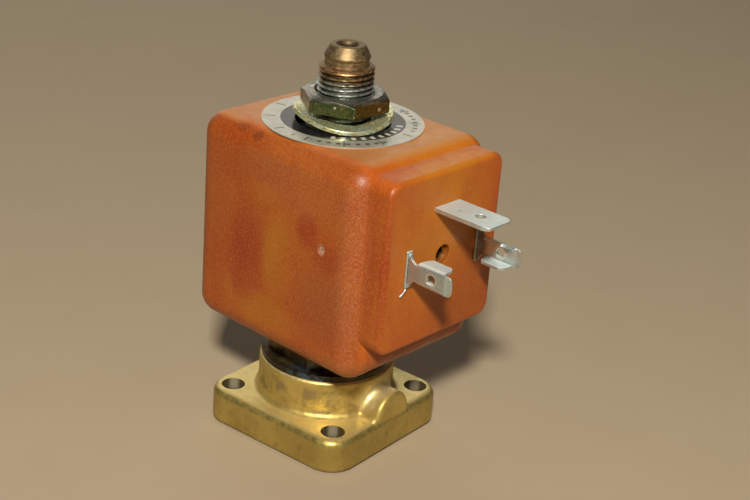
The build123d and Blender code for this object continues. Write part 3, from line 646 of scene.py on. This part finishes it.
def zinc(name, dull):
    """Yellow-passivated zinc with green and pink tints and pale specks; on the nut, painted reflections
    make one flat brown and another pale pink.
    """
    s = Surface(name)
    tint = s.noise(0.35, 3, 0.6)
    fleck = s.noise(2.9 if dull else 2.6, 4, 0.75, offset=2)
    if dull:
        angle = s.math("ARCTAN2", s.y, s.x)
        # painted reflection: one flat of the nut is brown
        brown = s.band(angle, NUT_TURN - math.pi, NUT_TURN - 2 * math.pi / 3, 0.02)
        green = s.mix(s.step(tint, 0.42, 0.58), (0.07, 0.115, 0.05), (0.13, 0.16, 0.06))
        colour = s.mix(brown, green, (0.18, 0.13, 0.03))
        # painted reflection: another flat of the nut is pale pink
        far = s.band(angle, NUT_TURN + math.pi / 3, NUT_TURN + 2 * math.pi / 3, 0.02)
        colour = s.mix(s.math("MULTIPLY", far, 0.6), colour, (0.6, 0.46, 0.36))
        pink = s.step(s.noise(0.45, 2, 0.5, offset=12), 0.5, 0.66, 0, 0.4)
        colour = s.mix(s.math("MULTIPLY", pink, s.step(s.z, 63.0, 63.8)), colour, (0.46, 0.32, 0.36))
        grey = s.step(s.z, 63.2, 63.9, 0.0, 0.75)
        colour = s.mix(grey, colour, (0.42, 0.42, 0.38))
    else:
        colour = s.mix(s.step(tint, 0.4, 0.62), (0.86, 0.84, 0.46), (0.8, 1.0, 0.72))
        gold = s.step(s.noise(0.5, 3, 0.6, offset=5), 0.45, 0.65, 0, 0.6)
        colour = s.mix(gold, colour, (0.85, 0.72, 0.34))
    colour = s.mix(s.step(fleck, 0.48, 0.6, 0, 0.75), colour, (0.035, 0.035, 0.015))
    white = s.specks(0.6, 0.24, 0.2, offset=3)
    colour = s.mix(s.math("MULTIPLY", white, 0.85), colour, (0.75, 0.75, 0.7))
    small = s.specks(2.0, 0.22, 0.2, offset=9)
    colour = s.mix(s.math("MULTIPLY", small, 0.7), colour, (0.6, 0.62, 0.52))
    roughness = s.step(fleck, 0.3, 0.7, 0.26 if dull else 0.2, 0.46 if dull else 0.38)
    normal = s.bump(fleck, 0.03, 0.4)
    s.set(Base_Color=colour, Metallic=0.9 if dull else 0.7, Roughness=roughness, Normal=normal)
    return s.material


def tin():
    """Dull, frosted tin plating with brighter worn spots; painted light on upward faces, a painted
    highlight round the contact holes, and painted shade in the feet's slits, the blade's dimple and the
    right contact's root.
    """
    s = Surface("tin", COIL_TURN)
    frost = s.noise(4.5, 4, 0.8)
    warm = s.noise(0.5, 3, 0.6, offset=3)
    colour = s.mix(s.step(warm, 0.4, 0.62), (0.58, 0.73, 0.76), (0.67, 0.76, 0.74))
    colour = s.mix(s.step(frost, 0.5, 0.66, 0, 0.7), colour, (0.3, 0.29, 0.24))
    bright = s.step(s.noise(7.0, 2, 0.6, offset=6), 0.58, 0.68, 0, 0.9)
    colour = s.mix(bright, colour, (0.97, 0.98, 0.95))
    out = s.math("SUBTRACT", s.y, CONTACT_HOLE_Y)
    over = s.math("SUBTRACT", s.z, CONTACT_Z)
    from_hole = s.distance(out, over)
    # painted highlight: a pale ring round each contact's hole
    sink = s.band(from_hole, CONTACT_HOLE_R, CONTACT_HOLE_R + 0.35, 0.06)
    colour = s.mix(s.math("MULTIPLY", sink, 0.7), colour, (0.95, 0.98, 0.92))
    # painted shade: a dark line down each foot, standing in for the shaded slit beside the sheet
    slit_shade = s.band(s.math("ABSOLUTE", s.x), CONTACT_X + 0.27, CONTACT_X + 0.42, 0.05)
    slit_shade = s.math("MULTIPLY", slit_shade, s.step(s.y, PAD_Y - 0.35, PAD_Y - 0.48))
    slit_shade = s.math("MULTIPLY", slit_shade, s.step(s.math("ABSOLUTE", over), 2.0, 2.6, 1.0, 0.0))
    colour = s.mix(s.math("MULTIPLY", slit_shade, 0.9), colour, (0.05, 0.03, 0.015))
    # painted shade: the blade's dimple is darkened
    dimple_shade = s.spot((-0.7, -27.8, 51.1), (0.45, 0.45, 0.8))
    colour = s.mix(dimple_shade, colour, (0.12, 0.11, 0.09))
    # painted shadow: the right contact's root and foot darkened brown, where the blade's shadow falls
    root = s.math("MULTIPLY", s.step(s.x, 6.5, 7.5), s.step(s.y, -27.6, -26.2))
    colour = s.mix(s.math("MULTIPLY", root, 0.75), colour, (0.2, 0.115, 0.05))
    # painted light: faces that point up are made lighter; they are also less metallic
    film_and_top_light = s.step(s.upward, 0.5, 0.9)
    colour = s.mix(s.math("MULTIPLY", film_and_top_light, 0.6), colour, (0.6, 0.7, 0.69))
    metal = s.math("SUBTRACT", 0.88, s.math("MULTIPLY", film_and_top_light, 0.6))
    roughness = s.step(frost, 0.35, 0.65, 0.27, 0.46)
    normal = s.bump(frost, 0.05, 0.7)
    s.set(Base_Color=colour, Metallic=metal, Roughness=roughness, Normal=normal)
    return s.material


def label_foil():
    """Silver foil ring with a black printed band and plain marks instead of words."""
    s = Surface("label_foil", COIL_TURN)
    radius = s.distance(s.x, s.y)
    angle = s.math("ARCTAN2", s.y, s.x)
    tint = s.noise(0.22, 3, 0.6)
    silver = s.mix(s.step(tint, 0.35, 0.65), (0.48, 0.48, 0.42), (0.58, 0.57, 0.49))
    ink = s.band(radius, 8.2, 10.85, 0.05)
    blocks = s.math("FRACT", s.math("MULTIPLY", angle, 36 / math.tau))
    bars = s.math("MULTIPLY", s.band(blocks, 0.2, 0.62, 0.06), s.band(radius, 9.3, 10.4, 0.06))
    bars = s.math("MULTIPLY", bars, s.band(angle, -2.6, -0.85, 0.02))
    colour = s.mix(ink, silver, (0.012, 0.012, 0.014))
    colour = s.mix(s.math("MULTIPLY", bars, 0.9), colour, (0.6, 0.58, 0.52))
    ticks = s.math("FRACT", s.math("MULTIPLY", angle, 12 / math.tau))
    tick = s.math("MULTIPLY", s.band(ticks, 0.46, 0.52, 0.01), s.band(radius, 11.6, 13.4, 0.05))
    dashes = s.math("FRACT", s.math("MULTIPLY", angle, 48 / math.tau))
    dash = s.math("MULTIPLY", s.band(dashes, 0.15, 0.6, 0.05), s.band(radius, 12.1, 12.9, 0.05))
    dash = s.math("MULTIPLY", dash, s.step(s.noise(0.1, 1, 0.5, offset=4), 0.5, 0.52))
    marks = s.math("MAXIMUM", tick, dash)
    colour = s.mix(s.math("MULTIPLY", marks, 0.85), colour, (0.05, 0.05, 0.045))
    grime = s.step(s.noise(1.2, 4, 0.7, offset=2), 0.55, 0.75, 0, 0.45)
    colour = s.mix(grime, colour, (0.2, 0.17, 0.1))
    metal = s.math("MULTIPLY", s.math("SUBTRACT", 1.0, ink), 0.55)
    roughness = s.math("ADD", s.math("MULTIPLY", ink, -0.14), 0.32)
    normal = s.bump(s.noise(0.8, 3, 0.6), 0.05, 0.25)
    s.set(Base_Color=colour, Metallic=metal, Roughness=roughness, Normal=normal)
    return s.material


def plain_metal(name, light, dark, roughness=0.3):
    """Machined metal with turning marks and a little staining."""
    s = Surface(name)
    stain = s.noise(0.6, 4, 0.6)
    colour = s.mix(s.step(stain, 0.35, 0.7), light, dark)
    marks = s.noise(1.5, 3, 0.6, stretch=(0.3, 0.3, 8))
    normal = s.bump(marks, 0.02, 0.4)
    s.set(Base_Color=colour, Metallic=1.0, Normal=normal)
    s.set(Roughness=s.step(stain, 0.3, 0.7, roughness, roughness + 0.15))
    return s.material


def plain_moulded(name, light, dark, roughness=0.5):
    """Moulded plastic, tape or rubber with a fine grain."""
    s = Surface(name)
    grain = s.noise(2.5, 3, 0.6)
    s.set(Base_Color=s.mix(s.step(grain, 0.35, 0.65), light, dark))
    s.set(Roughness=s.step(grain, 0.3, 0.7, roughness, roughness + 0.12))
    s.set(Normal=s.bump(grain, 0.03, 0.4))
    return s.material


MATERIALS = {
    "body_brass": body_brass(),
    "oxidised_steel": oxidised_steel(),
    "core_steel": core_steel(),
    "stainless": plain_metal("stainless", (0.6, 0.6, 0.58), (0.45, 0.45, 0.44)),
    "yellow_zinc": zinc("yellow_zinc", dull=False),
    "nut_zinc": zinc("nut_zinc", dull=True),
    "yoke_steel": plain_metal("yoke_steel", (0.1, 0.1, 0.11), (0.05, 0.045, 0.04), 0.4),
    "spring_steel": plain_metal("spring_steel", (0.55, 0.55, 0.53), (0.4, 0.4, 0.38), 0.22),
    "copper": plain_metal("copper", (0.75, 0.34, 0.18), (0.5, 0.2, 0.1), 0.28),
    "insert_brass": plain_metal("insert_brass", (0.62, 0.47, 0.2), (0.4, 0.3, 0.12), 0.3),
    "tin": tin(),
    "label_foil": label_foil(),
    "orange_resin": orange_resin(),
    "bobbin_plastic": plain_moulded("bobbin_plastic", (0.03, 0.03, 0.03), (0.015, 0.015, 0.015)),
    "tape": plain_moulded("tape", (0.7, 0.52, 0.1), (0.6, 0.42, 0.08), 0.3),
    "black_rubber": plain_moulded("black_rubber", (0.018, 0.018, 0.018), (0.03, 0.03, 0.03)),
    "seal_rubber": plain_moulded("seal_rubber", (0.1, 0.03, 0.015), (0.06, 0.02, 0.012)),
}


def paint_cad_nodes():
    """Every CAD node gets the material of its record slot."""
    for entry in RECORD["subparts"]:
        node = frame["nodes"][entry["node"]]
        for slot in node.material_slots:
            slot.material = MATERIALS[entry["material_slot"]]


# ---------------------------------------------------------------- pieces on the tube


def stem_shape(radius, height, angle):
    """Cuts the helical thread into the stem, runs it out at both ends and wears its crests."""
    threaded = (radius > NECK_R - 0.3) & (radius < THREAD_R + 0.01) & (height > THREAD_START)
    phase = height / THREAD_PITCH - angle / math.tau + 0.28
    groove = (0.5 + 0.5 * np.cos(math.tau * phase)) ** 0.8
    depth = THREAD_DEPTH * smooth_step(height, THREAD_START + 0.2, THREAD_START + 0.8)
    depth = depth * (1 - smooth_step(height, THREAD_END - 0.5, THREAD_END + 0.25))
    wear = 0.035 * (np.sin(7 * angle + 3 * height) + np.sin(13 * angle - 5 * height))
    cut = radius - depth * groove + np.minimum(wear, 0) * (1 - groove)
    return np.where(threaded, np.minimum(radius, cut), radius), height


def make_stem():
    """The core with its thread, undercut neck, cone and countersunk bore."""
    bottom, top = CORE_LOW[2], CORE_HIGH[2]
    lower = [
        (SEAT_BORE_R, bottom + 0.22), (1.7, bottom + 0.22), (1.7, bottom + 1.4), (2.8, bottom + 1.4),
        (2.8, bottom), (3.9, bottom), (3.9, bottom + 1.4), (4.8, bottom + 1.4), (4.8, bottom),
        (6.1, bottom), (6.1, THREAD_START - 0.4), (6.5, THREAD_START - 0.4), (6.5, THREAD_START),
    ]
    heights = np.linspace(THREAD_START, THREAD_END, 15 * 12)
    thread = [(THREAD_R, height) for height in heights]
    upper = [
        (THREAD_R - 0.12, THREAD_END + 0.22), (4.25, THREAD_END + 0.42), (3.83, THREAD_END + 0.5),
        (3.8, THREAD_END + 1.5), (NECK_R + 0.03, THREAD_END + 1.75), (NECK_R + 0.03, THREAD_END + 2.05),
        (3.0, top), (2.05, top), (BORE_R, top - 0.5), (BORE_R, BORE_BOTTOM),
        (SEAT_BORE_R, BORE_BOTTOM),
    ]
    outline = soften(lower + thread + upper, 0.12)
    points, faces = lathe(outline, 120, stem_shape)
    make_piece(
        "threaded_stem", points, faces, MATERIALS["core_steel"], "valve_body",
        stands_for=["fixed_core"], sharp=18,
    )


def nut_shape(radius, height, angle):
    """Turns the outline's outer rows into a hexagon, bevelled on top."""
    sector = (angle - NUT_TURN) % (math.pi / 3) - math.pi / 6
    flat = NUT_HALF_FLATS / np.cos(sector)
    flat = np.minimum(flat, NUT_HALF_FLATS / math.cos(math.pi / 6) - 0.08)
    outer = radius > NUT_HALF_FLATS + 0.5
    middle = (NUT_LOW[2] + NUT_HIGH[2]) / 2
    drop = (flat - NUT_BEVEL_R) * math.tan(math.radians(30))
    top_row = NUT_HIGH[2] - drop
    edge = np.where(height > middle, top_row, NUT_LOW[2])
    return np.where(outer, flat, radius), np.where(outer, edge, height)


def make_nut():
    """The thin hexagon nut: arcs where the bevel cuts the flats, and a countersunk thread."""
    low, high = NUT_LOW[2], NUT_HIGH[2]
    sink = 0.5
    outline = np.array([
        (NUT_BORE_R, low + sink), (NUT_BORE_R + sink, low), (NUT_BEVEL_R, low),
        (NUT_HALF_FLATS + 1, low), (NUT_HALF_FLATS + 1, high), (NUT_BEVEL_R, high),
        (NUT_BORE_R + sink, high), (NUT_BORE_R, high - sink),
    ])
    points, faces = lathe(outline, 144, nut_shape)
    piece = make_piece(
        "hexagon_nut", points, faces, MATERIALS["nut_zinc"], "valve_body",
        stands_for=["coil_nut"], sharp=20,
    )
    bevel(piece, 0.09, angle=22)


def make_washer():
    """The curved washer with its rolled edges."""
    bend_r = (WASHER_R**2 + WASHER_SAG**2) / (2 * WASHER_SAG)
    wide = np.linspace(WASHER_HOLE_R, WASHER_R, 9)
    outline = [(r, 0.0) for r in wide] + [(r, WASHER_T) for r in wide[::-1]]
    points, faces = lathe(soften(outline, 0.2), 160)
    cosine, sine = math.cos(-WASHER_TURN), math.sin(-WASHER_TURN)
    along = cosine * points[..., 0] - sine * points[..., 1]
    across = sine * points[..., 0] + cosine * points[..., 1]
    lift = points[..., 2].copy()
    swing = np.arcsin(across / bend_r)
    points[..., 2] = WASHER_BOTTOM + bend_r - (bend_r - lift) * np.cos(swing)
    across = (bend_r - lift) * np.sin(swing)
    cosine, sine = math.cos(WASHER_TURN), math.sin(WASHER_TURN)
    points[..., 0] = cosine * along - sine * across
    points[..., 1] = sine * along + cosine * across
    make_piece(
        "curved_washer", points, faces, MATERIALS["yellow_zinc"], "valve_body",
        stands_for=["spring_washer"], sharp=45,
    )


def make_spring(name, node, body, wire_r, turns):
    """A compression spring with closed ends."""
    low, high = span(node)
    coil_r = high[0] - wire_r
    steps, around = int(turns * 40), 12
    share = np.linspace(0, 1, steps + 1)
    angle = math.tau * turns * share
    even = 0.45 * share + 0.55 * smooth_step(share, 0, 1)
    height = low[2] + wire_r + (high[2] - low[2] - 2 * wire_r) * even
    middle = np.stack([coil_r * np.cos(angle), coil_r * np.sin(angle), height], axis=1)
    ahead = np.gradient(middle, axis=0)
    ahead /= np.linalg.norm(ahead, axis=1)[:, None]
    outwards = np.stack([np.cos(angle), np.sin(angle), 0 * angle], axis=1)
    over = np.cross(ahead, outwards)
    turn = np.linspace(0, math.tau, around, endpoint=False)[None, :, None]
    wire = outwards[:, None] * np.cos(turn) + over[:, None] * np.sin(turn)
    points = middle[:, None] + wire_r * wire
    faces = ring_faces(steps + 1, around)[: steps * around]
    faces.append(tuple(range(around))[::-1])
    faces.append(tuple(range(steps * around, (steps + 1) * around)))
    piece = make_piece(
        name, points, faces, MATERIALS["spring_steel"], body, stands_for=[node]
    )
    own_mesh(piece)


# ---------------------------------------------------------------- pieces on the coil


def contact_place(side):
    """Bends a contact's flat pattern: across is the unrolled width, along runs outwards."""
    web, bend_r = 1.2, 0.55
    square, open_lip = math.pi / 2, math.radians(68)

    def place(across, along):
        size, sign = np.abs(across), np.sign(across)
        full = np.where((sign > 0) & (side > 0), open_lip, square)
        swing = np.clip((size - web) / bend_r, 0, full)
        past = np.maximum(size - web - bend_r * full, 0)
        inwards = bend_r * (1 - np.cos(swing)) + past * np.sin(full)
        up = np.minimum(size, web) + bend_r * np.sin(swing) + past * np.cos(full)
        bent = smooth_step(along, -32.95, -32.5) * (1 - smooth_step(along, -27.0, -26.6))
        inwards = inwards * bent
        up = np.where(size > web, size + (up - size) * bent, size)
        x = -side * (CONTACT_X - inwards)
        return np.stack([-x, along, CONTACT_Z + sign * up], axis=1)

    return place


def make_contact(side, hand):
    """One U-section contact of tinned sheet, with a flared root that reaches the pad."""
    tip, tip_half, lip, neck = -34.2, 1.7, 4.25, 1.35
    half = [
        (0.0, tip), (tip_half - 0.75, tip + 0.03), (tip_half - 0.28, tip + 0.2),
        (tip_half - 0.04, tip + 0.55), (tip_half, tip + 0.9),
        (tip_half, -32.75), (2.1, -32.5), (3.6, -32.35), (lip, -31.7), (lip, -28.0),
        (3.5, -27.45), (1.9, -27.1), (neck + 0.08, -26.8), (neck + 0.1, -26.5),
        (neck + 0.4, -26.1), (2.15, -25.7), (2.8, -25.35), (3.1, -25.0), (3.1, PAD_Y),
        (neck, PAD_Y), (neck, -18.6),
    ]
    outline = half + [(-across, along) for across, along in half[:0:-1]]
    hole = circle(0.0, CONTACT_HOLE_Y, CONTACT_HOLE_R)
    points, faces = sheet(outline, [hole], 0.3, contact_place(side))
    piece = make_piece(
        "tab_" + hand, points, faces, MATERIALS["tin"], "coil",
        stands_for=["line_contact_" + hand], turn=COIL_TURN, sharp=40,
    )
    thicken(piece, CONTACT_T, 0.07, points[:, 1], tip=-33.2, share=0.6)


def rounded_block(name, low, high, radius, material):
    """A small block with rounded edges, on the coil."""
    corners = [
        (x, y, z) for x in (low[0], high[0]) for y in (low[1], high[1]) for z in (low[2], high[2])
    ]
    faces = [(0, 1, 3, 2), (4, 6, 7, 5), (0, 4, 5, 1), (2, 3, 7, 6), (0, 2, 6, 4), (1, 5, 7, 3)]
    piece = make_piece(name, corners, faces, material, "coil", turn=COIL_TURN, sharp=60)
    bevel(piece, radius, segments=3)


def make_contact_foot(side, hand):
    """The foot that stands against the pad behind a contact."""
    outer, inner = side * (CONTACT_X + 0.6), side * (CONTACT_X - 0.75)
    low = (min(outer, inner), PAD_Y - 0.5, CONTACT_Z - 3.3)
    high = (max(outer, inner), PAD_Y, CONTACT_Z + 3.3)
    rounded_block("foot_" + hand, low, high, 0.22, MATERIALS["tin"])


def blade_place(across, along):
    """Bends the earth blade up to the yoke plate inside the housing."""
    past = along - BLADE_BEND_Y
    swing = np.clip(past / BLADE_BEND_R, 0, math.pi / 2)
    rise = np.maximum(past - BLADE_BEND_R * math.pi / 2, 0)
    y = np.minimum(along, BLADE_BEND_Y) + BLADE_BEND_R * np.sin(swing)
    z = BLADE_MID_Z + BLADE_BEND_R * (1 - np.cos(swing)) + rise
    return np.stack([across, y, z], axis=1)


def make_blade():
    """The flat earth tab with its bevelled tip, hole and locking dimple."""
    half, tip = 3.15, -35.72
    end = BLADE_BEND_Y + BLADE_BEND_R * math.pi / 2 + (BLADE_END_Z - BLADE_MID_Z - BLADE_BEND_R)
    outline = [
        (-half, end), (-half, tip + 1.35), (-half + 0.45, tip + 0.2), (-half + 0.75, tip),
        (half - 0.6, tip), (half - 0.2, tip + 0.2), (half, tip + 0.65), (half, end),
    ]
    hole = circle(0.0, -31.6, 0.9)
    points, faces = sheet(outline, [hole], 0.35, blade_place)
    dent = np.hypot(points[:, 0] + 0.7, points[:, 1] + 27.8)
    points[:, 2] -= 0.12 * (1 - smooth_step(dent, 0.15, 0.55)) * (points[:, 1] < -20)
    piece = make_piece(
        "earth_tab", points, faces, MATERIALS["tin"], "coil",
        stands_for=["earth_blade"], turn=COIL_TURN, sharp=40,
    )
    thicken(piece, BLADE_T, 0.12, points[:, 1], tip=-35.3, share=0.7)


def make_whisker():
    """The loose end of tinned wire below the left contact's foot."""
    route = np.array([
        (-9.0, PAD_Y - 0.1, 38.5), (-9.3, PAD_Y - 0.3, 38.0), (-9.75, PAD_Y - 0.35, 37.7),
        (-10.2, PAD_Y - 0.25, 37.35), (-10.5, PAD_Y - 0.2, 37.05),
    ])
    widths = (0.2, 0.17, 0.15, 0.16, 0.25)
    steps = 10
    points = []
    for index, (centre, width) in enumerate(zip(route, widths)):
        ahead = route[min(index + 1, len(route) - 1)] - route[max(index - 1, 0)]
        ahead /= np.linalg.norm(ahead)
        side = np.cross(ahead, (0, 1, 0))
        side /= np.linalg.norm(side)
        over = np.cross(ahead, side)
        for angle in np.linspace(0, math.tau, steps, endpoint=False):
            points.append(centre + width * (side * math.cos(angle) + over * math.sin(angle)))
    faces = ring_faces(len(route), steps)[: (len(route) - 1) * steps]
    faces.append(tuple(range(steps))[::-1])
    faces.append(tuple(range((len(route) - 1) * steps, len(route) * steps)))
    piece = make_piece("wire_end", points, faces, MATERIALS["tin"], "coil", turn=COIL_TURN)
    modifier = piece.modifiers.new("round", "SUBSURF")
    modifier.levels = modifier.render_levels = 2


# ---------------------------------------------------------------- stage


def make_floor():
    """A plain pale floor."""
    size = 1.5
    mesh = bpy.data.meshes.new("floor")
    corners = [(-size, -size, 0), (size, -size, 0), (size, size, 0), (-size, size, 0)]
    mesh.from_pydata(corners, [], [(0, 1, 2, 3)])
    s = Surface("floor")
    grain = s.noise(0.05, 3, 0.5)
    s.set(Base_Color=s.mix(grain, (0.40, 0.32, 0.215), (0.43, 0.345, 0.235)), Roughness=0.8)
    mesh.materials.append(s.material)
    floor = bpy.data.objects.new("floor", mesh)
    bpy.context.scene.collection.objects.link(floor)


def area_light(name, place, aim, size, power, colour):
    """A soft square light at a place, facing a point."""
    data = bpy.data.lights.new(name, "AREA")
    data.shape = "SQUARE"
    data.size = size
    data.energy = power
    data.color = colour
    light = bpy.data.objects.new(name, data)
    light.location = place
    light.rotation_euler = (Vector(aim) - Vector(place)).to_track_quat("-Z", "Y").to_euler()
    light.visible_camera = False
    bpy.context.scene.collection.objects.link(light)


def make_lights():
    """A key high behind the camera, a weak fill, a broad light from behind and a dim surround."""
    middle = (0, 0, 0.04)
    area_light("key", (-0.4686, -0.3347, 0.5207), middle, 0.07, 7.5, (1.0, 0.93, 0.82))
    area_light("fill", (0.10, -0.62, 0.38), middle, 0.4, 0.08, (1.0, 0.95, 0.87))
    area_light("wall", (0.52, 0.66, 0.36), middle, 0.9, 2.2, (1.0, 0.95, 0.84))
    world = bpy.data.worlds.new("surround")
    world.use_nodes = True
    background = world.node_tree.nodes["Background"]
    background.inputs[0].default_value = (1.0, 0.93, 0.8, 1.0)
    background.inputs[1].default_value = 0.03
    bpy.context.scene.world = world


def make_camera():
    """The camera stands in front of the left corner, a little above, and leans slightly."""
    yaw, pitch, roll = (math.radians(angle) for angle in (53.24, -23.59, 4.61))
    forward = Vector(
        (math.sin(yaw) * math.cos(pitch), math.cos(yaw) * math.cos(pitch), math.sin(pitch))
    )
    level = forward.cross(Vector((0, 0, 1))).normalized()
    over = level.cross(forward)
    right = level * math.cos(roll) + over * math.sin(roll)
    up = over * math.cos(roll) - level * math.sin(roll)
    data = bpy.data.cameras.new("camera")
    data.sensor_width = 36
    data.lens = 72.2
    data.clip_start = 0.01
    camera = bpy.data.objects.new("camera", data)
    matrix = Matrix((right, up, -forward)).transposed().to_4x4()
    matrix.translation = (-0.19279, -0.15308, 0.14209)
    camera.matrix_world = matrix
    bpy.context.scene.collection.objects.link(camera)
    bpy.context.scene.camera = camera


make_camera()
make_lights()
make_floor()
paint_cad_nodes()
make_stem()
make_nut()
make_washer()
make_spring(
    "armature_spring", "return_spring", "valve_body", wire_r=0.3, turns=3.0,
)
make_spring(
    "seal_spring", "exhaust_seal_spring", "armature", wire_r=0.15, turns=9.0,
)
for side, hand in ((-1, "left"), (1, "right")):
    make_contact(side, hand)
    make_contact_foot(side, hand)
make_blade()
make_whisker()
bpy.context.scene.view_settings.view_transform = "Standard"
